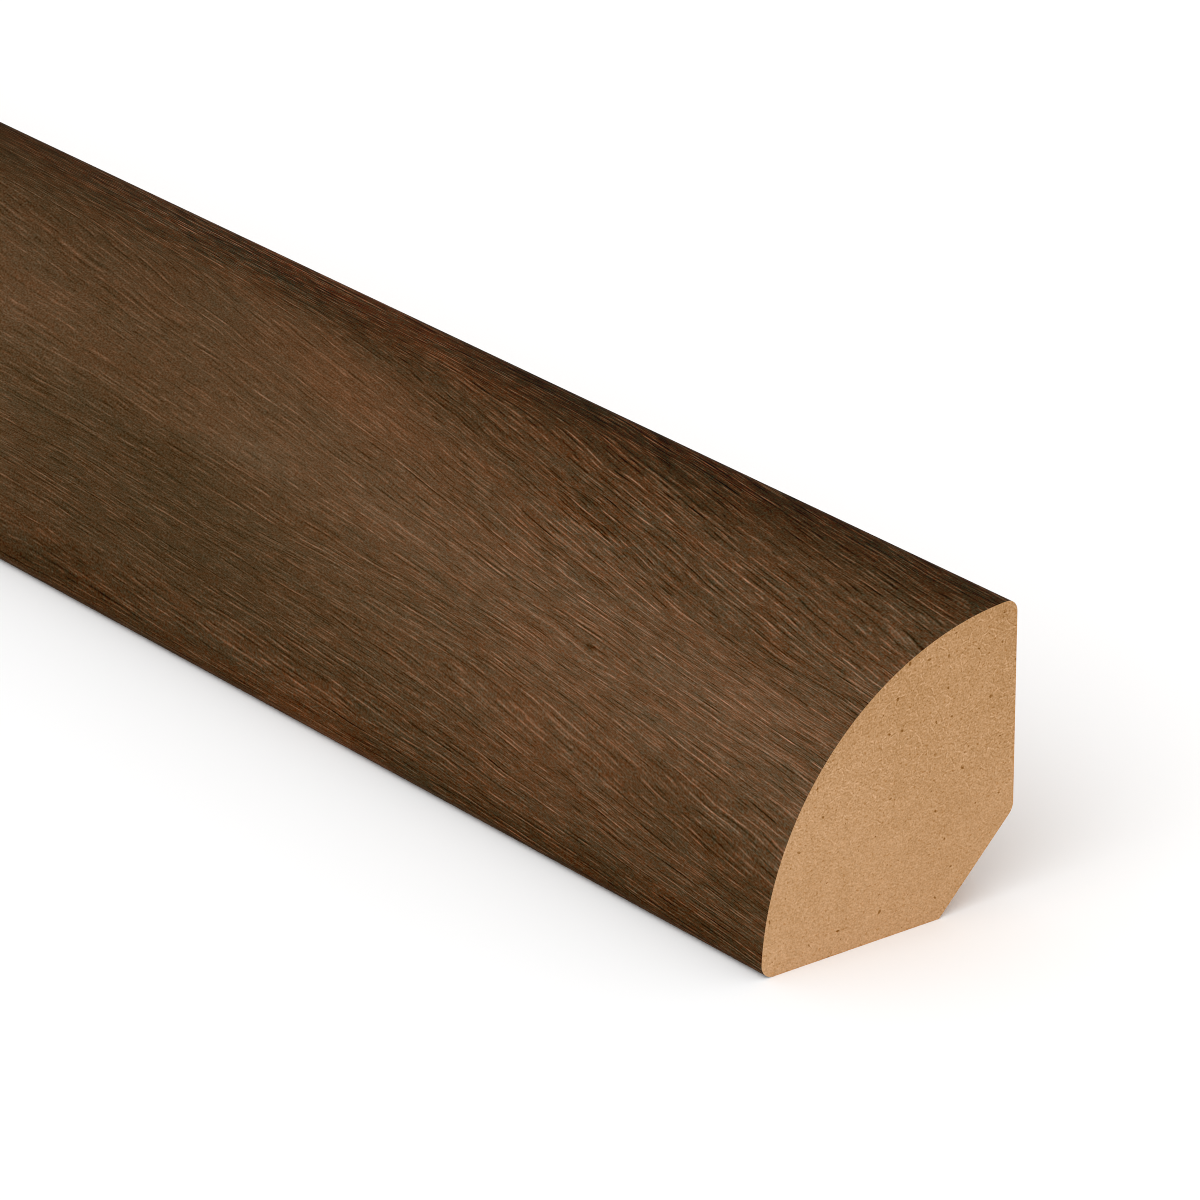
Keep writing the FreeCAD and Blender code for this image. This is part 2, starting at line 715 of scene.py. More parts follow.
        across = (faces[:, 1] - low) / (high - low)
        rows_u = faces[:, 0] / row_length - row
        rows_v = hidden_band + gap + (row + across * self.row_fill) * row_height
        perimeter = float(self.outline.travel()[-1])
        hidden_u = faces[:, 0] / self.length
        hidden_v = faces[:, 1] / perimeter * hidden_band
        span = np.ptp(self.outline.points, axis=0).max() * self.end_margin
        corner = self.outline.points.min(axis=0)
        end_start = np.where(near[owner], 0, self.bake_end + gap)
        end_u = (faces[:, 0] - corner[0]) / span * self.bake_end + end_start
        end_v = rows_top + gap + (faces[:, 1] - corner[1]) / span * self.bake_end
        u = np.where(is_cut, end_u, np.where(shown, rows_u, hidden_u))
        v = np.where(is_cut, end_v, np.where(shown, rows_v, hidden_v))
        layer = mesh.uv_layers.new(name=BAKE_MAP)
        layer.uv.foreach_set("vector", np.column_stack((u, v)).astype(np.float32).ravel())


@dataclass(frozen=True)
class Tint:
    """A colour as a screen shows it, from 0 to 255, and how it changes.

    Attributes:
        base: The colour in the middle of its range.
        tone: Change of each part for one step lighter.
        hue: Change of each part for one step redder.
        decode: Power that turns a screen's values into the scene's linear ones.
        darkest: Least value of a part, from 0 to 1.
    """

    base: tuple[float, float, float]
    tone: tuple[float, float, float]
    hue: tuple[float, float, float]
    decode: float = 2.14
    darkest: float = 0.01

    def colour(self, board: Board, tone: Field, hue: Field) -> Field:
        """Mixes the colour.

        Args:
            board: Where the nodes go.
            tone: Steps lighter.
            hue: Steps redder.

        Returns:
            The colour, in the scene's linear values.
        """
        parts = []
        for base, lighter, redder in zip(self.base, self.tone, self.hue):
            shown = tone * (lighter / WHITE) + hue * (redder / WHITE) + base / WHITE
            parts.append(board.math("POWER", shown.within(self.darkest, 1.0), self.decode))
        return board.field("ShaderNodeCombineColor", dict(zip(("Red", "Green", "Blue"), parts)))


@dataclass(frozen=True)
class Place:
    """A soft-edged oval on the print. Lengths are in millimetres.

    Attributes:
        along: Its middle, from the near end.
        up: Its middle, from the toe.
        length: Its reach along.
        width: Its reach up.
        lean: How far it climbs for each millimetre along.
    """

    along: float
    up: float
    length: float
    width: float
    lean: float = field(default=0.0, kw_only=True)

    def level(self, along: Field, up: Field) -> Field:
        """Reads the place.

        Args:
            along: Distance from the near end, in millimetres.
            up: Distance from the toe, in millimetres.

        Returns:
            How strong it is, from 0 to 1.
        """
        climb = (along - self.along) * self.lean
        return along.hump(self.along, self.length) * (up - climb).hump(self.up, self.width)


@dataclass(frozen=True)
class Patch(Place):
    """A place that is lighter or darker, or redder, than the rest.

    Attributes:
        tone: Steps lighter in its middle.
        hue: Steps redder in its middle.
    """

    tone: float = 0.0
    hue: float = 0.0


@dataclass(frozen=True)
class Accent(Place):
    """A place whose grain lines are bolder or fainter than the rest.

    Attributes:
        contrast: What it adds to the lines' contrast.
        colour: What it adds to their change of hue.
    """

    contrast: float = 0.0
    colour: float = 0.0


@dataclass(frozen=True)
class Swell(Place):
    """A place where the grain lines bulge.

    Attributes:
        height: How far they bulge in its middle, in millimetres. Above 0 it is towards the toe.
    """

    height: float = 0.0


@dataclass(frozen=True)
class PinKnot:
    """A small knot that the grain runs round. Lengths are in millimetres.

    Attributes:
        along: Its place from the near end.
        up: Its place from the toe.
        size: Its reach along the grain.
        flatness: Its reach across the grain, as a share of its size.
        tone: Steps lighter in its middle.
        sway_along: How far along the grain it parts the lines, in sizes.
        sway_across: How far across the grain it parts them, in sizes.
        sway: How much it parts them.
    """

    along: float
    up: float
    size: float
    flatness: float = 0.4
    tone: float = -48.0
    sway_along: float = 8.0
    sway_across: float = 3.0
    sway: float = 0.45

    def level(self, along: Field, up: Field) -> Field:
        """How strong the knot is at a place, from 0 to 1."""
        return along.hump(self.along, self.size) * up.hump(self.up, self.size * self.flatness)

    def parting(self, along: Field, up: Field) -> Field:
        """How far it moves the lines at a place, in millimetres."""
        beside = up.hump(self.up, self.size * self.sway_across)
        return (up - self.up) * along.hump(self.along, self.size * self.sway_along) * beside * self.sway


@dataclass(frozen=True)
class ShadeBand:
    """Painted shade along one edge of the foil, which grows towards that edge, where the round face turns
    away from the light.

    Attributes:
        start: Distance from the edge at which it begins, in millimetres.
        full: Distance from the edge at which it has its full strength, in millimetres.
        tone: Steps lighter at its strongest.
        hue: Steps redder at its strongest.
    """

    start: float
    full: float
    tone: float = 0.0
    hue: float = 0.0


@dataclass(frozen=True)
class Stray:
    """A smooth wandering of some value over the face.

    Attributes:
        along: Size of its lumps along, in millimetres.
        up: Size of its lumps up the face, in millimetres.
        seed: Picks it.
        height: How far it goes to either side.
    """

    along: float
    up: float
    seed: float
    height: float

    def level(self, board: Board, along: Field, up: Field) -> Field:
        """How far it is off at a place."""
        return board.noise(board.vector(along / self.along, up / self.up, self.seed)) * self.height


@dataclass(frozen=True)
class Streaks:
    """One layer of grain lines or fibres.

    Attributes:
        across: Width of a line and its gap, in millimetres.
        along: Length of a line, in millimetres.
        seed: Picks the layer.
        tone: Steps lighter at its strongest.
        hue: Steps redder at its strongest.
        low: Noise level at which a line begins to show. At or below -1 the noise is used as it is.
        high: Noise level at which it is at its strongest.
        detail: Octaves of finer noise.
        lay: Direction of the fibres, in degrees from the first axis of the map of faces.
    """

    across: float
    along: float
    seed: float
    tone: float = 0.0
    hue: float = 0.0
    low: float = -1.0
    high: float = 1.0
    detail: float = 0.0
    lay: float = 0.0

    def level(self, board: Board, along: Field, line: Field) -> Field:
        """Reads the layer.

        Args:
            board: Where the nodes go.
            along: Distance along the grain, in millimetres.
            line: Distance across the grain, in millimetres.

        Returns:
            How strong it is.
        """
        noise = board.noise(board.vector(along / self.along, line / self.across, self.seed), self.detail)
        return noise if self.low <= -1 else noise.step(self.low, self.high)


@dataclass(frozen=True)
class FineLines:
    """Thin lines that run side by side along the grain, each of them fading in and out.

    Attributes:
        gap: Distance between lines, in millimetres.
        run: Length over which a line fades, in millimetres.
        width: Half the width of a line, in millimetres.
        seed: Picks the lines.
        tone: Steps lighter on the strongest line.
        hue: Steps redder on the strongest line.
        low: Noise level at which a line begins to show.
        high: Noise level at which it is at its strongest.
        stray: How unevenly the lines lie, as a share of the gap.
        full: Share of its width over which a line has its full strength.
        shuffle: How far apart the lines start to fade, in runs.
        apart: Noise lumps from one line to the next.
    """

    gap: float
    run: float
    width: float
    seed: float
    tone: float
    hue: float = 0.0
    low: float = -0.25
    high: float = 0.45
    stray: float = 0.4
    full: float = 0.2
    shuffle: float = 50.0
    apart: float = 3.7

    def level(self, board: Board, along: Field, line: Field) -> Field:
        """Reads the lines.

        Args:
            board: Where the nodes go.
            along: Distance along the grain, in millimetres.
            line: Distance across the grain, in millimetres.

        Returns:
            How strong a line is, from 0 to 1.
        """
        rows = line / self.gap
        row = board.math("FLOOR", rows)
        aside, start, _ = board.chances(board.vector(row, self.seed, 0.5))
        off = board.math("ABSOLUTE", board.math("FRACT", rows) - 0.5 - (aside - 0.5) * self.stray)
        share = self.width / self.gap
        body = off.step(share, share * self.full)
        place = board.vector(along / self.run + start * self.shuffle, row * self.apart, self.seed)
        return body * board.noise(place, detail=1.0).step(self.low, self.high)


@dataclass(frozen=True)
class Hairs:
    """Single fibres that lie in all directions, each of them light, with a shadow beside it.

    Attributes:
        gap: Distance between fibres, in millimetres.
        length: Length of a fibre, in millimetres.
        width: Half its width, in millimetres.
        seed: Picks the fibres.
        tone: Steps lighter on the strongest fibre.
        shadow: Its shadow, as a share of the tone.
        shadow_gap: Distance from its middle to its shadow's, in half widths.
        full: Share of its width over which it has its full strength.
        bow: Bend of the fibres. The most bent one's tips are off by an eighth of this, in lengths.
        weakest: Chance below which a fibre doesn't show.
    """

    gap: float
    length: float
    width: float
    seed: float
    tone: float
    shadow: float = 0.6
    shadow_gap: float = 1.8
    full: float = 0.3
    bow: float = 1.3
    weakest: float = 0.2

    def level(self, board: Board, x: Field, y: Field) -> Field:
        """Reads the fibres.

        Args:
            board: Where the nodes go.
            x: First place on the face, in millimetres.
            y: Second place on the face, in millimetres.

        Returns:
            How strong a fibre is, from 0 to 1. It is below 0 in a shadow.
        """
        along, across, strength, curl = board.scatter(x, y, self.gap, self.seed)
        across = across + along * along * (curl - 0.5) * (self.bow / self.length)
        half = self.length / 2
        inside = (along * along).step(half**2, (half / 2) ** 2)
        light = board.math("ABSOLUTE", across).step(self.width, self.width * self.full)
        beside = board.math("ABSOLUTE", across + self.width * self.shadow_gap)
        dark = beside.step(self.width, self.width * self.full)
        return (light - dark * self.shadow) * inside * strength.step(self.weakest, 1.0)


@dataclass(frozen=True)
class Bulge:
    """A change of some value at one height on the face.

    Attributes:
        up: Its middle, in millimetres from the toe.
        reach: Its reach up and down, in millimetres.
        size: The change in its middle.
    """

    up: float
    reach: float
    size: float

    def level(self, up: Field) -> Field:
        """The change at a height."""
        return up.hump(self.up, self.reach) * self.size


@dataclass(frozen=True)
class GrainFlow:
    """How the grain runs along the print. Lengths are in millimetres.

    Attributes:
        middle: Middle of the near stretch, from the near end.
        reach: Distance from that middle past which leans and bends grow no more.
        waves: Length and height of each slow wave that all lines share.
        lean: How far lines climb for each millimetre along, where nothing changes it.
        leans: Changes of the lean.
        toe_lean: Change of the lean at the toe.
        toe_fan: What the far half alone takes off the lean at the toe.
        toe_reach: How far up the toe's changes reach.
        arris_fan: What the far half alone takes off the lean at the arris.
        arris_from: How far up that change begins.
        arris_full: How far up it has its full size.
        bend: How far lines sink one bend length off the middle, as a share of it, where nothing changes it.
        bends: Changes of the bend.
        bend_length: The distance off the middle that bends are given for.
        strays: Small wanderings of the lines.
        far_stray: Slow wandering past the near stretch.
        swells: Places where lines bulge.
    """

    middle: float = 35.6
    reach: float = 50.0
    waves: tuple[tuple[float, float], ...] = ((610.0, 8.0), (270.0, 1.8))
    lean: float = -0.068
    leans: tuple[Bulge, ...] = (Bulge(22.5, 9.9, 0.083), Bulge(5.9, 3.8, 0.044))
    toe_lean: float = 0.03
    toe_fan: float = 0.05
    toe_reach: float = 5.0
    arris_fan: float = 0.045
    arris_from: float = 24.0
    arris_full: float = 30.0
    bend: float = 0.043
    bends: tuple[Bulge, ...] = (Bulge(5.0, 3.0, 0.030), Bulge(27.6, 5.0, -0.091))
    bend_length: float = 76.0
    strays: tuple[Stray, ...] = (Stray(7.0, 1.6, 25.0, 0.15), Stray(2.4, 0.7, 27.0, 0.045))
    far_stray: Stray = Stray(70.0, 12.0, 21.0, 0.7)
    swells: tuple[Swell, ...] = (
        Swell(44.7, 27.2, 22.0, 2.6, height=-1.05),
        Swell(13.4, 18.5, 22.0, 3.2, height=0.80),
        Swell(30.3, 10.4, 18.4, 2.2, height=-0.70),
        Swell(26.0, 30.2, 20.0, 2.4, height=-0.40),
        Swell(57.9, 6.2, 17.7, 4.8, height=0.55),
        Swell(41.8, 2.4, 22.0, 2.0, height=0.70),
    )

    def line(self, board: Board, along: Field, up: Field) -> Field:
        """Which grain line a place is on, given by the line's height at the flow's middle.

        Args:
            board: Where the nodes go.
            along: Distance from the near end, in millimetres.
            up: Distance from the toe, in millimetres.

        Returns:
            The height, in millimetres.
        """
        from_middle = along - self.middle
        line = up
        for length, height in self.waves:
            line = line - (from_middle * (math.tau / length)).sine() * height
        off = from_middle.within(-self.reach, self.reach)
        at_toe = up.step(self.toe_reach, 0.0)
        at_arris = up.step(self.arris_from, self.arris_full)
        lean = sum((bulge.level(up) for bulge in self.leans), at_toe * self.toe_lean + self.lean)
        bend = sum((bulge.level(up) for bulge in self.bends), self.bend)
        fan = off.within(0.0, self.reach) * (at_arris * self.arris_fan + at_toe * self.toe_fan)
        line = line - off * lean + fan + off * off * bend / self.bend_length
        line = line + self.far_stray.level(board, along, up) * along.step(*NEAR_STRETCH_FADES)
        for stray in self.strays:
            line = line + stray.level(board, along, up)
        for swell in self.swells:
            line = line + swell.level(along, up) * swell.height
        return line


@dataclass(frozen=True)
class FoilFinish:
    """The printed foil: dark brown wood grain under a matt lacquer, with painted shade towards the toe and
    the arris.

    Attributes:
        show_width: Distance up the face from the toe to the arris, in metres.
        tint: Its brown.
        flow: How its grain runs.
        layers: Its grain lines.
        pores: The grain lines that are also pressed into the face.
        dust: Its finest lines, which are as strong everywhere.
        lines_mean: Steps by which the lines make the print lighter on average.
        clouds: Broad changes of tone.
        near_clouds: Strength of the clouds on the near stretch, which has patches of its own.
        patches: Places that are lighter, darker or redder.
        accents: Places where the grain lines are bolder or fainter.
        knots: Its pin knots.
        toe_shade_bands: Painted shade along the toe, darker and redder towards it, where the round face
            turns away from the light.
        arris_shade_bands: Painted shade along the arris, darker and redder towards it, where the round face
            turns away from the light.
        side_shade_reach: Distance off the face's middle past which its painted shade grows no darker, in
            millimetres.
        side_shade_fall: Steps of painted shade one millimetre off that middle, for the light falling off
            round the curve. They grow with the square of the distance.
        contrast: Contrast of the grain lines where nothing changes it.
        near_contrast: What the near end adds to it.
        near_contrast_fades: Where that begins and where it is full, in millimetres from the near end.
        far_contrast: Swing of the contrast past the near stretch.
        far_contrast_mean: What it adds on average.
        far_contrast_fades: Where it begins and where it is full, in millimetres from the near end.
        pore_depth: Depth of the pores, in metres.
        pore_strength: How much of that depth shows.
        gloss: Strength of the lacquer's shine.
        roughness: Roughness of the lacquer.
        pore_roughness: What a pore adds to it.
    """

    show_width: float
    tint: Tint = Tint((79.3, 58.6, 39.8), (0.67, 0.56, 0.53), (0.73, -0.30, -0.60))
    flow: GrainFlow = GrainFlow()
    layers: tuple[FineLines | Streaks, ...] = (
        FineLines(0.27, 1.4, 0.058, 1.3, tone=43.0, hue=2.8, low=-0.20),
        FineLines(0.33, 4.2, 0.056, 2.4, tone=42.0, hue=3.4, low=0.0),
        FineLines(0.19, 6.0, 0.048, 4.7, tone=24.0, hue=1.2),
        FineLines(0.26, 2.4, 0.055, 3.6, tone=-33.0, hue=-1.8),
        Streaks(0.066, 0.20, 5.9, hue=-11.0),
        Streaks(0.12, 0.30, 7.7, hue=9.0),
        Streaks(0.80, 6.0, 9.2, hue=4.5),
    )
    pores: FineLines = FineLines(0.37, 2.8, 0.060, 18.8, tone=-32.0, low=0.0)
    dust: Streaks = Streaks(0.066, 0.20, 5.9, tone=32.0)
    lines_mean: float = 2.2
    clouds: tuple[Streaks, ...] = (
        Streaks(0.90, 18.0, 12.6, tone=6.0, hue=3.0, detail=1.0),
        Streaks(5.00, 50.0, 15.4, tone=18.0, hue=2.0),
    )
    near_clouds: float = 0.25
    patches: tuple[Patch, ...] = (
        Patch(66.0, 10.0, 20.0, 4.0, tone=-22.0, hue=-3.5, lean=0.08),
        Patch(14.0, 14.0, 33.0, 3.2, tone=13.0, hue=0.5, lean=0.04),
        Patch(31.0, 27.5, 19.0, 6.0, tone=-8.5, hue=1.5, lean=0.12),
        Patch(60.0, 28.8, 16.0, 1.6, tone=12.0, hue=6.0, lean=0.13),
        Patch(44.0, 1.0, 6.0, 3.0, tone=11.0, hue=6.0),
        Patch(12.0, 2.2, 25.0, 1.4, tone=-6.0),
        Patch(70.0, 3.0, 7.0, 1.9, tone=-11.0),
        Patch(5.5, 6.5, 6.0, 2.1, tone=-9.0, hue=1.0, lean=0.2),
        Patch(22.5, 8.0, 7.0, 4.5, tone=7.0, hue=3.0, lean=0.12),
        Patch(53.5, 21.5, 11.0, 1.8, tone=8.0, hue=4.5, lean=0.17),
        Patch(59.0, 15.0, 7.0, 1.0, tone=10.0, hue=-1.0),
        Patch(9.0, 15.0, 3.4, 1.2, tone=11.0, hue=1.5),
        Patch(32.0, 21.7, 26.0, 1.1, tone=-7.0, lean=0.16),
        Patch(16.0, 22.5, 21.0, 1.1, tone=5.0, hue=1.0, lean=0.12),
        Patch(55.0, 27.3, 11.0, 1.5, tone=-11.0),
        Patch(43.8, 29.9, 9.3, 1.3, tone=-9.0, hue=-4.0, lean=0.09),
        Patch(36.0, 13.2, 40.0, 1.6, tone=-5.0),
        Patch(67.0, 9.1, 10.0, 2.0, tone=7.0, lean=0.14),
        Patch(80.0, 20.0, 18.0, 3.3, tone=-6.0, lean=0.29),
        Patch(49.5, 22.6, 40.0, 1.3, tone=5.0, hue=1.5, lean=0.15),
        Patch(69.0, 28.4, 7.0, 1.4, tone=-8.0),
    )
    accents: tuple[Accent, ...] = (
        Accent(74.0, 28.8, 24.0, 3.0, contrast=1.25),
        Accent(66.0, 2.5, 18.0, 3.0, contrast=0.15),
        Accent(38.0, 30.0, 60.0, 2.4, contrast=0.15, colour=0.45),
        Accent(38.0, 1.5, 60.0, 2.5, colour=0.25),
        Accent(44.0, 26.4, 15.0, 3.5, contrast=0.15),
        Accent(28.5, 21.0, 4.5, 3.2, contrast=0.35),
        Accent(12.0, 26.7, 12.0, 3.2, contrast=-0.25),
        Accent(70.0, 8.7, 11.0, 3.0, contrast=0.17),
        Accent(52.0, 3.0, 16.0, 3.0, contrast=0.24),
        Accent(16.0, 9.0, 20.0, 3.0, contrast=-0.20),
        Accent(18.0, 3.0, 8.0, 3.0, contrast=-0.15),
    )
    knots: tuple[PinKnot, ...] = (PinKnot(21.75, 13.95, 0.45),)
    toe_shade_bands: tuple[ShadeBand, ...] = (ShadeBand(4.2, 0.6, tone=-19.5), ShadeBand(4.0, 0.0, hue=1.2))
    arris_shade_bands: tuple[ShadeBand, ...] = (ShadeBand(6.4, 0.9, tone=-27.5), ShadeBand(3.0, 0.0, hue=4.5))
    side_shade_reach: float = 11.0
    side_shade_fall: float = 1.0 / 9.0
    contrast: float = 0.55
    near_contrast: float = 0.60
    near_contrast_fades: tuple[float, float] = (62.0, 18.0)
    far_contrast: Stray = Stray(60.0, 14.0, 51.0, 0.35)
    far_contrast_mean: float = 0.22
    far_contrast_fades: tuple[float, float] = (90.0, 150.0)
    pore_depth: float = 0.01 * MM
    pore_strength: float = 0.3
    gloss: float = 0.008
    roughness: float = 0.52
    pore_roughness: float = 0.14

    def material(self) -> bpy.types.Material:
        """Makes the finish.

        Returns:
            The material.
        """
        made = bpy.data.materials.new("printed_foil")
        board = cleared_board(made)
        metres_along, metres_up, _ = board.split(board.field("ShaderNodeUVMap", uv_map=FACE_MAP))
        along, up = metres_along / MM, metres_up / MM
        line = self.flow.line(board, along, up)
        for knot in self.knots:
            line = line - knot.parting(along, up)
        pore = self.pores.level(board, along, line)
        tone, hue = self.line_tones(board, along, up, line, pore)
        broad_tone, broad_hue = self.broad_tones(board, along, up, line)
        relief = {"Strength": self.pore_strength, "Distance": self.pore_depth, "Height": 1.0 - pore}
        shader = board.add(
            "ShaderNodeBsdfPrincipled",
            {
                "Base Color": self.tint.colour(board, tone + broad_tone, hue + broad_hue),
                "Roughness": pore * self.pore_roughness + self.roughness,
                "Specular IOR Level": self.gloss,
                "Normal": board.field("ShaderNodeBump", relief),
            },
        )
        board.add("ShaderNodeOutputMaterial", {"Surface": shader.outputs[0]})
        return made

    def line_tones(
        self, board: Board, along: Field, up: Field, line: Field, pore: Field
    ) -> tuple[Field, Field]:
        """Adds up the grain lines.

        Args:
            board: Where the nodes go.
            along: Distance from the near end, in millimetres.
            up: Distance from the toe, in millimetres.
            line: The grain line.
            pore: How strong the pores are.

        Returns:
            Steps lighter and steps redder.
        """
        swing = self.far_contrast.level(board, along, up) + self.far_contrast_mean
        contrast = along.step(*self.near_contrast_fades) * self.near_contrast + self.contrast
        contrast = contrast + along.step(*self.far_contrast_fades) * swing
        colour = along * 0.0
        for accent in self.accents:
            level = accent.level(along, up)
            if accent.contrast:
                contrast = contrast + level * accent.contrast
            if accent.colour:
                colour = colour + level * accent.colour
        tone = pore * self.pores.tone - self.lines_mean
        hue = pore * self.pores.hue
        for layer in self.layers:
            level = layer.level(board, along, line)
            if layer.tone:
                tone = tone + level * layer.tone
            if layer.hue:
                hue = hue + level * layer.hue
        dust = self.dust.level(board, along, line) * self.dust.tone
        return tone * contrast + dust, hue * (contrast + colour)

    def broad_tones(self, board: Board, along: Field, up: Field, line: Field) -> tuple[Field, Field]:
        """Adds up what changes slowly over the face: painted shade on its sides and edges, and the print's
        clouds, patches and knots.

        Args:
            board: Where the nodes go.
            along: Distance from the near end, in millimetres.
            up: Distance from the toe, in millimetres.
            line: The grain line.

        Returns:
            Steps lighter and steps redder.
        """
        width = self.show_width / MM
        # Painted shade: darker off the face's middle and along the toe and the arris, where the round face
        # turns away from the light
        off_middle = (up - width / 2).within(-self.side_shade_reach, self.side_shade_reach)
        tone, hue = off_middle * off_middle * -self.side_shade_fall, along * 0.0
        for distance, shade_bands in ((up, self.toe_shade_bands), (width - up, self.arris_shade_bands)):
            for shade_band in shade_bands:
                level = distance.step(shade_band.start, shade_band.full)
                tone, hue = tone + level * shade_band.tone, hue + level * shade_band.hue
        strength = along.step(*NEAR_STRETCH_FADES) * (1.0 - self.near_clouds) + self.near_clouds
        for cloud in self.clouds:
            level = cloud.level(board, along, line) * strength
            tone, hue = tone + level * cloud.tone, hue + level * cloud.hue
        for patch in self.patches:
            level = patch.level(along, up)
            tone = tone + level * patch.tone
            if patch.hue:
                hue = hue + level * patch.hue
        for knot in self.knots:
            tone = tone + knot.level(along, up) * knot.tone
        return tone, hue


@dataclass(frozen=True)
class FibreboardFinish:
    """Bare fibreboard as sawn and machined: tan wood fibres, lighter hairs and a few dark specks of bark,
    with painted shade across its cut ends.

    Attributes:
        corner: The back corner's place on a cut end, in metres, where both flat faces would meet.
        tint: Its tan.
        fibres: Layers of fibres. Each lies in its own direction.
        hairs: Layers of single fibres.
        smooth_below: How far up a cut end its fibres begin to stand out, in millimetres.
        rough_above: How far up they stand out fully, in millimetres.
        smooth_hairs: Strength of the hairs where they don't stand out.
        smooth_tone: Strength of all fibres where they don't stand out.
        rough_tone: What they gain where they do.
        speck_gap: Distance between specks, in millimetres.
        speck_seed: Picks the specks.
        speck_least: Reach of the smallest speck, in millimetres.
        speck_spread: What the largest has more, in millimetres.
        speck_stretch: What the longest speck's length has more than its width, as a share of the width.
        speck_core: Share of its reach over which a speck has its full strength.
        speck_tone: Steps lighter on a speck.
        speck_hue: Steps redder on a speck.
        rim_reach: How far the darker rim of a cut end's bare edges reaches in, in metres.
        bare_reach: How far those bare edges reach from the back corner, in metres.
        bare_fade: Share of that reach at which the rim has its full strength.
        rim_tone: Steps lighter on the rim.
        rim_hue: Steps redder on the rim.
        painted_shade_up: Painted shade: steps darker for each millimetre up a cut end, for how the light
            falls on it.
        painted_shade_over: Painted shade: steps darker for each millimetre towards the wall.
        painted_shade_middle: Where the painted shade is nothing, in millimetres from the back corner.
        far_shift: How far the far end's fibres lie from the near end's on the board, in millimetres.
        relief_depth: Height of the fibres, in metres for one step lighter.
        relief_strength: How much of that height shows.
        gloss: Strength of its shine.
        roughness: Its roughness.
        tone_roughness: What one step lighter adds to it.
    """

    corner: tuple[float, float]
    tint: Tint = Tint((181.0, 138.5, 97.0), (0.56, 0.56, 0.61), (0.73, 0.0, -0.60))
    fibres: tuple[Streaks, ...] = (
        Streaks(0.11, 0.32, 31.0, tone=18.0, hue=1.5, lay=4.0),
        Streaks(0.11, 0.30, 33.0, tone=18.0, hue=-1.5, lay=-38.0),
        Streaks(0.11, 0.28, 35.0, tone=14.0, hue=1.5, lay=62.0),
        Streaks(0.12, 0.13, 41.0, tone=31.0, detail=1.0),
        Streaks(0.20, 0.22, 43.0, tone=-34.0, hue=4.0, low=0.34, high=0.60),
        Streaks(0.42, 0.50, 44.0, tone=7.0),
        Streaks(1.10, 1.30, 45.0, tone=9.0),
        Streaks(6.00, 7.00, 47.0, tone=8.0),
    )
    hairs: tuple[Hairs, ...] = (
        Hairs(0.46, 0.50, 0.048, 3.1, tone=26.0),
        Hairs(0.62, 0.70, 0.050, 8.7, tone=26.0),
        Hairs(1.10, 1.10, 0.052, 15.3, tone=26.0),
    )
    smooth_below: float = 4.0
    rough_above: float = 12.0
    smooth_hairs: float = 0.4
    smooth_tone: float = 0.92
    rough_tone: float = 0.25
    speck_gap: float = 1.9
    speck_seed: float = 4.0
    speck_least: float = 0.04
    speck_spread: float = 0.12
    speck_stretch: float = 1.2
    speck_core: float = 0.5
    speck_tone: float = -85.0
    speck_hue: float = 1.0
    rim_reach: float = 0.14 * MM
    bare_reach: float = 18.5 * MM
    bare_fade: float = 0.98
    rim_tone: float = -12.0
    rim_hue: float = 8.0
    painted_shade_up: float = 1.1
    painted_shade_over: float = 0.45
    painted_shade_middle: tuple[float, float] = (-7.5, 9.0)
    far_shift: float = 40.0
    relief_depth: float = 0.001 * MM
    relief_strength: float = 0.25
    gloss: float = 0.1
    roughness: float = 0.86
    tone_roughness: float = 0.002

    def material(self) -> bpy.types.Material:
        """Makes the finish.

        Returns:
            The material.
        """
        made = bpy.data.materials.new("bare_fibreboard")
        board = cleared_board(made)
        metres_x, metres_y, _ = board.split(board.field("ShaderNodeUVMap", uv_map=FACE_MAP))
        on_cut = board.field("ShaderNodeAttribute", {}, "Fac", attribute_name="cut")
        from_middle, _, _ = board.split(board.field("ShaderNodeTexCoord", {}, "Object"))
        on_far_cut = board.math("LESS_THAN", from_middle, 0.0) * on_cut
        x, y = metres_x / MM + on_far_cut * self.far_shift, metres_y / MM
        fibre_tone, hue = self.fibre_tones(board, x, y)
        speck = self.specks(board, x, y)
        over, above = metres_x - self.corner[0], metres_y - self.corner[1]
        rim = self.rim(board, over, above) * on_cut
        # Painted shade on the cut ends: darker up the end and towards the wall, for how the light falls on
        # them
        painted_shade_x, painted_shade_y = self.painted_shade_middle
        shade = (above / MM - painted_shade_y) * self.painted_shade_up + (over / MM - painted_shade_x) * self.painted_shade_over
        tone = fibre_tone + speck * self.speck_tone + rim * self.rim_tone - shade * on_cut
        hue = hue + speck * self.speck_hue + rim * self.rim_hue
        relief = {"Strength": self.relief_strength, "Distance": self.relief_depth, "Height": fibre_tone}
        shader = board.add(
            "ShaderNodeBsdfPrincipled",
            {
                "Base Color": self.tint.colour(board, tone, hue),
                "Roughness": tone * self.tone_roughness + self.roughness,
                "Specular IOR Level": self.gloss,
                "Normal": board.field("ShaderNodeBump", relief),
            },
        )
        board.add("ShaderNodeOutputMaterial", {"Surface": shader.outputs[0]})
        return made

    def rim(self, board: Board, over: Field, above: Field) -> Field:
        """Finds the darker rim along a cut end's bare edges.

        Args:
            board: Where the nodes go.
            over: Distance from the back corner in the wall's direction, in metres.
            above: Distance from the back corner up, in metres.

        Returns:
            A number from 0 to 1, which is 1 on the edge.
        """
        inset = board.field("ShaderNodeAttribute", {}, "Fac", attribute_name="inset")
        from_corner = board.math("SQRT", over * over + above * above)
        bare = from_corner.step(self.bare_reach, self.bare_reach * self.bare_fade)
        return inset.step(self.rim_reach, 0.0) * bare

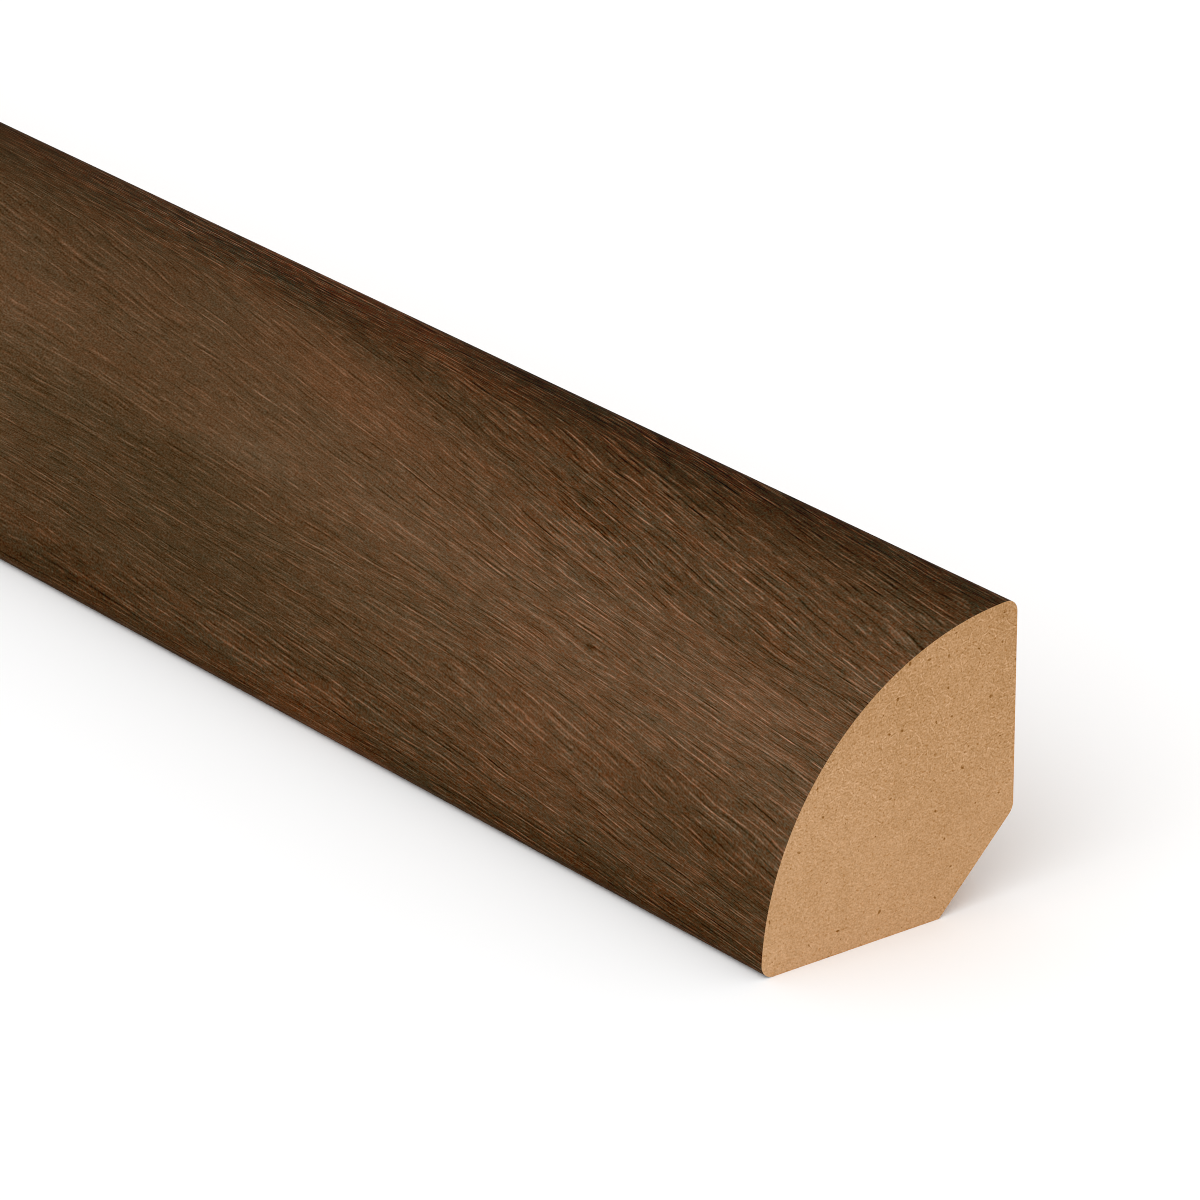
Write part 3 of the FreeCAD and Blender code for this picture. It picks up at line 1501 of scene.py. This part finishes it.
    def fibre_tones(self, board: Board, x: Field, y: Field) -> tuple[Field, Field]:
        """Adds up the layers of fibres.

        Args:
            board: Where the nodes go.
            x: First place on the face, in millimetres.
            y: Second place on the face, in millimetres.

        Returns:
            Steps lighter and steps redder.
        """
        tone, hue = x * 0.0, x * 0.0
        for layer in self.fibres:
            turn = math.radians(layer.lay)
            along = x * math.cos(turn) + y * math.sin(turn)
            across = y * math.cos(turn) - x * math.sin(turn)
            level = layer.level(board, along, across)
            tone = tone + level * layer.tone
            if layer.hue:
                hue = hue + level * layer.hue
        rougher = y.step(self.smooth_below, self.rough_above)
        hair_strength = rougher * (1.0 - self.smooth_hairs) + self.smooth_hairs
        for hair in self.hairs:
            tone = tone + hair.level(board, x, y) * hair_strength * hair.tone
        return tone * (rougher * self.rough_tone + self.smooth_tone), hue

    def specks(self, board: Board, x: Field, y: Field) -> Field:
        """Scatters specks of bark.

        Args:
            board: Where the nodes go.
            x: First place on the face, in millimetres.
            y: Second place on the face, in millimetres.

        Returns:
            A number from 0 to 1, which is 1 on a speck.
        """
        along, across, size, shape = board.scatter(x, y, self.speck_gap, self.speck_seed)
        stretch = shape * self.speck_stretch + 1.0
        off = board.math("SQRT", along * along / stretch + across * across * stretch)
        reach = size * size * self.speck_spread + self.speck_least
        return (off / reach).step(1.0, self.speck_core)


@dataclass(frozen=True)
class Studio:
    """Plain pale floor, soft light and the camera. Pixels count in a picture of 1200 by 1200.

    Attributes:
        corner: The near end's back corner, in metres, where both flat faces would meet.
        corner_pixel: Where that corner is in the picture.
        pixels_per_metre: Scale of the picture there.
        focal_pixels: The lens's focal length in pixels.
        azimuth: Turn of the view in degrees, from along +Y towards -X.
        elevation: Height of the view above the horizon, in degrees.
        picture: Side of the picture, in pixels.
        sensor: Width of the camera's sensor, in millimetres.
        clip: Nearest and farthest distance that the camera sees, in metres.
        floor_reach: How far the floor goes to each side, in metres.
        floor_shade: How much light the floor gives back.
        sky: Strength of the even light from all round.
        sun: Strength of the broad lamp.
        sun_from: Direction that the lamp's light comes from.
        sun_spread: How broad the lamp is, in degrees.
        pixel_blur: Width over which the picture is smoothed, in pixels.
    """

    corner: Vector
    corner_pixel: tuple[float, float] = (1011.07, 893.80)
    pixels_per_metre: float = 16913.0
    focal_pixels: float = 7905.1
    azimuth: float = 51.935
    elevation: float = 23.165
    picture: float = 1200.0
    sensor: float = 36.0
    clip: tuple[float, float] = (0.01, 100.0)
    floor_reach: float = 150.0
    floor_shade: float = 0.93
    sky: float = 0.85
    sun: float = 1.40
    sun_from: tuple[float, float, float] = (0.30, -0.66, 0.69)
    sun_spread: float = 60.0
    pixel_blur: float = 1.0

    def camera(self) -> bpy.types.Object:
        """Sets up the camera.

        Returns:
            The camera.
        """
        turn, rise = math.radians(self.azimuth), math.radians(self.elevation)
        back = Vector((math.sin(turn) * math.cos(rise), -math.cos(turn) * math.cos(rise), math.sin(rise)))
        right = Vector((math.cos(turn), math.sin(turn), 0))
        over = back.cross(right)
        distance = self.focal_pixels / self.pixels_per_metre
        aside = (self.corner_pixel[0] - self.picture / 2) / self.pixels_per_metre
        above = (self.picture / 2 - self.corner_pixel[1]) / self.pixels_per_metre
        data = bpy.data.cameras.new("camera")
        data.sensor_width = self.sensor
        data.lens = self.sensor * self.focal_pixels / self.picture
        data.clip_start, data.clip_end = self.clip
        made = bpy.data.objects.new("camera", data)
        axes = Matrix((right, over, back)).transposed().to_4x4()
        place = self.corner - right * aside - over * above + back * distance
        made.matrix_world = Matrix.Translation(place) @ axes
        bpy.context.scene.collection.objects.link(made)
        bpy.context.scene.camera = made
        return made

    def floor(self) -> bpy.types.Object:
        """Lays the floor.

        Returns:
            The floor.
        """
        reach = self.floor_reach
        mesh = bpy.data.meshes.new("floor")
        corners = [(-reach, -reach, 0), (reach, -reach, 0), (reach, reach, 0), (-reach, reach, 0)]
        mesh.from_pydata(corners, [], [(0, 1, 2, 3)])
        made = bpy.data.objects.new("floor", mesh)
        bpy.context.scene.collection.objects.link(made)
        material = bpy.data.materials.new("pale_floor")
        board = cleared_board(material)
        shade = self.floor_shade
        shader = board.add("ShaderNodeBsdfDiffuse", {"Color": (shade, shade, shade, 1.0)})
        board.add("ShaderNodeOutputMaterial", {"Surface": shader.outputs[0]})
        mesh.materials.append(material)
        return made

    def light(self) -> None:
        """Sets up the light: an even sky and one very broad lamp, the same all along the stock."""
        scene = bpy.context.scene
        scene.view_settings.view_transform = "Standard"
        scene.cycles.filter_width = self.pixel_blur
        scene.cycles.denoising_prefilter = "NONE"
        world = bpy.data.worlds.new("studio")
        board = cleared_board(world)
        glow = board.add("ShaderNodeBackground", {"Color": (1.0, 1.0, 1.0, 1.0), "Strength": self.sky})
        board.add("ShaderNodeOutputWorld", {"Surface": glow.outputs[0]})
        scene.world = world
        lamp = bpy.data.lights.new("broad_lamp", "SUN")
        lamp.energy = self.sun
        lamp.angle = math.radians(self.sun_spread)
        made = bpy.data.objects.new("broad_lamp", lamp)
        made.rotation_euler = Vector(self.sun_from).to_track_quat("Z", "Y").to_euler()
        scene.collection.objects.link(made)


def main() -> None:
    """Builds the moulding and its studio, and reports each piece."""
    logging.basicConfig(level=logging.INFO, format="%(name)s: %(message)s")
    section = Section(wall_y=cad_high.y)
    length = cad_high.x - cad_low.x
    board = FibreboardFinish((section.wall_y, 0.0)).material()
    core = SawnStock(
        "fibreboard_core",
        section.core(),
        length,
        rings_along=60,
        cap_rings=48,
        saw_relief=0.03 * MM,
        relief_grain=0.5 * MM,
        seed=3.0,
        bake_rows=3,
        bake_end=0.49,
    ).build(board, board)
    wrap = SawnStock(
        "grain_wrap",
        section.wrap(),
        length,
        rings_along=80,
        cap_rings=1,
        saw_relief=0.0,
        relief_grain=0.5 * MM,
        seed=5.0,
        bake_rows=4,
        bake_end=0.1,
    ).build(FoilFinish(section.show_width()).material(), board)
    dressed = ((core, CadNode.CORE, Slot.FIBREBOARD), (wrap, CadNode.WRAP, Slot.FOIL))
    for piece, node, slot in dressed:
        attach(piece, BODY)
        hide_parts(node.value)
        piece.data.calc_loop_triangles()
        triangles = len(piece.data.loop_triangles)
        log.info("%s stands for %s, with %d triangles", piece.name, node.value, triangles)

    studio = Studio(Vector((cad_high.x, cad_high.y, 0.0)))
    studio.light()
    studio.floor()
    studio.camera()


if __name__ == "__main__":
    main()
